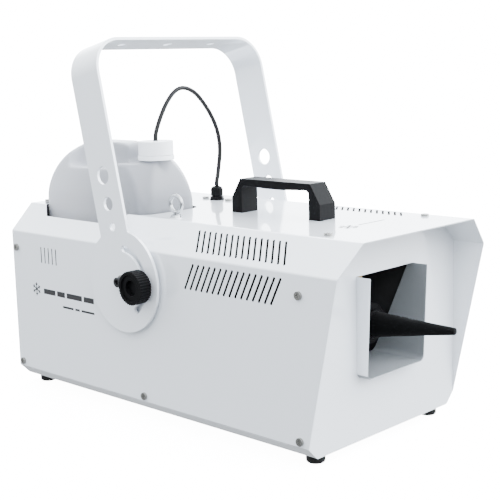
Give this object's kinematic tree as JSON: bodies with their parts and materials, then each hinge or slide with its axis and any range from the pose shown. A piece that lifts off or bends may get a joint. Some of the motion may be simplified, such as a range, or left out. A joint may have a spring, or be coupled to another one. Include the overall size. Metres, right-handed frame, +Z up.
{
  "type": "stage snow machine",
  "caption": "White sheet-metal stage snow machine with a tilting yoke, a fabric sock in its wide outlet, a liquid canister in the top, a suction hose and a carry handle.",
  "frame": {"origin": "Middle of the whole machine seen from above, yoke at rest, at the level of the undersides of the feet", "axes": "+X is the blowing direction, -Y is the side with the viewing notch of the canister, +Z is up"},
  "size_m": [0.671, 0.3546, 0.4936],
  "materials": {
    "white_powder": "glossy white powder coat",
    "black_paint": "satin black paint",
    "zinc": "bright zinc plate",
    "black_steel": "black oxide",
    "chrome": "polished chrome",
    "aluminium": "plain",
    "brass": "turned",
    "black_rubber": "satin",
    "black_plastic": "moulded, satin",
    "white_plastic": "moulded, satin",
    "clear_plastic": "translucent natural polyethylene",
    "red_plastic": "gloss",
    "circuit_board": "solder mask",
    "dark_glass": "smoked",
    "black_fabric": "fine woven, matte",
    "filter_foam": "open-cell foam"
  },
  "bodies": {
    "case": {"top_cover": "white_powder", "base_tray": "white_powder", "front_panel": "white_powder", "rear_panel": "white_powder", "outlet_sleeve": "white_powder", "splash_box": "black_paint", "rubber_feet": "black_rubber", "foot_screws": "zinc", "cover_screws": "zinc", "vent_filter": "filter_foam", "pivot_screws": "black_steel", "pivot_washers": "zinc", "pivot_spacers": "black_plastic", "weld_nuts": "zinc", "carry_handle": "black_plastic", "handle_screws": "zinc", "safety_eye": "chrome", "tank_cradle": "zinc", "suction_hose": "black_rubber", "gland_body": "black_plastic", "gland_nut": "black_plastic", "blower_housing": "black_plastic", "blower_motor": "aluminium", "motor_bracket": "aluminium", "air_tube": "black_plastic", "nozzle_plate": "black_plastic", "sock_clamp": "black_plastic", "foam_sock": "black_fabric", "spray_jet": "brass", "liquid_pump": "black_paint", "pump_spring": "black_steel", "pump_bracket": "zinc", "bracket_screws": "zinc", "liquid_tube": "clear_plastic", "power_board": "circuit_board", "control_board": "circuit_board", "display_window": "dark_glass", "switch_frame": "black_plastic", "mains_inlet": "black_plastic", "fuse_holder": "black_plastic", "dmx_in": "black_plastic", "dmx_out": "black_plastic", "knob_studs": "zinc"},
    "yoke": {"yoke_bracket": "white_powder"},
    "knob_left": {"tilt_knob_left": "black_plastic"},
    "knob_right": {"tilt_knob_right": "black_plastic"},
    "canister": {"tank": "clear_plastic", "tamper_ring": "white_plastic", "suction_pipe": "black_plastic"},
    "cap": {"tank_cap": "white_plastic"},
    "fan": {"blower_impeller": "aluminium"},
    "piston": {"pump_piston": "black_steel"},
    "key_menu": {"button_menu": "black_plastic"},
    "key_up": {"button_up": "black_plastic"},
    "key_down": {"button_down": "black_plastic"},
    "key_enter": {"button_enter": "black_plastic"},
    "rocker": {"power_rocker": "red_plastic"}
  },
  "joints": [
    {"name": "bracket_tilt", "type": "hinge", "parent": "case", "child": "yoke", "pos_m": [-0.06649, 0, 0.184], "axis": [0, 1, 0], "range_deg": [-50, 80]},
    {"name": "knob_left_turn", "type": "hinge", "parent": "case", "child": "knob_left", "pos_m": [-0.02349, 0.165, 0.184], "axis": [0, 1, 0], "range_deg": [0, 360]},
    {"name": "knob_right_turn", "type": "hinge", "parent": "case", "child": "knob_right", "pos_m": [-0.02349, -0.165, 0.184], "axis": [0, 1, 0], "range_deg": [0, 360]},
    {"name": "tank_lift", "type": "slide", "parent": "case", "child": "canister", "axis": [0, 0, 1], "range_m": [0, 0.08], "deforming": ["suction_hose"]},
    {"name": "cap_turn", "type": "hinge", "parent": "canister", "child": "cap", "pos_m": [-0.10449, -0.054, 0.343], "axis": [0, 0, 1], "range_deg": [0, 360]},
    {"name": "fan_spin", "type": "hinge", "parent": "case", "child": "fan", "pos_m": [0.07851, 0, 0.089], "axis": [0, 1, 0], "continuous": true},
    {"name": "piston_stroke", "type": "slide", "parent": "case", "child": "piston", "axis": [1, 0, 0], "range_m": [0, 0.004], "stiffness_N_per_m": 800},
    {"name": "press_menu", "type": "slide", "parent": "case", "child": "key_menu", "axis": [1, 0, 0], "range_m": [0, 0.0015], "stiffness_N_per_m": 400},
    {"name": "press_up", "type": "slide", "parent": "case", "child": "key_up", "axis": [1, 0, 0], "range_m": [0, 0.0015], "stiffness_N_per_m": 400},
    {"name": "press_down", "type": "slide", "parent": "case", "child": "key_down", "axis": [1, 0, 0], "range_m": [0, 0.0015], "stiffness_N_per_m": 400},
    {"name": "press_enter", "type": "slide", "parent": "case", "child": "key_enter", "axis": [1, 0, 0], "range_m": [0, 0.0015], "stiffness_N_per_m": 400},
    {"name": "rocker_tip", "type": "hinge", "parent": "case", "child": "rocker", "pos_m": [-0.31999, 0.044, 0.062], "axis": [0, 1, 0], "range_deg": [-14, 0]}
  ]
}
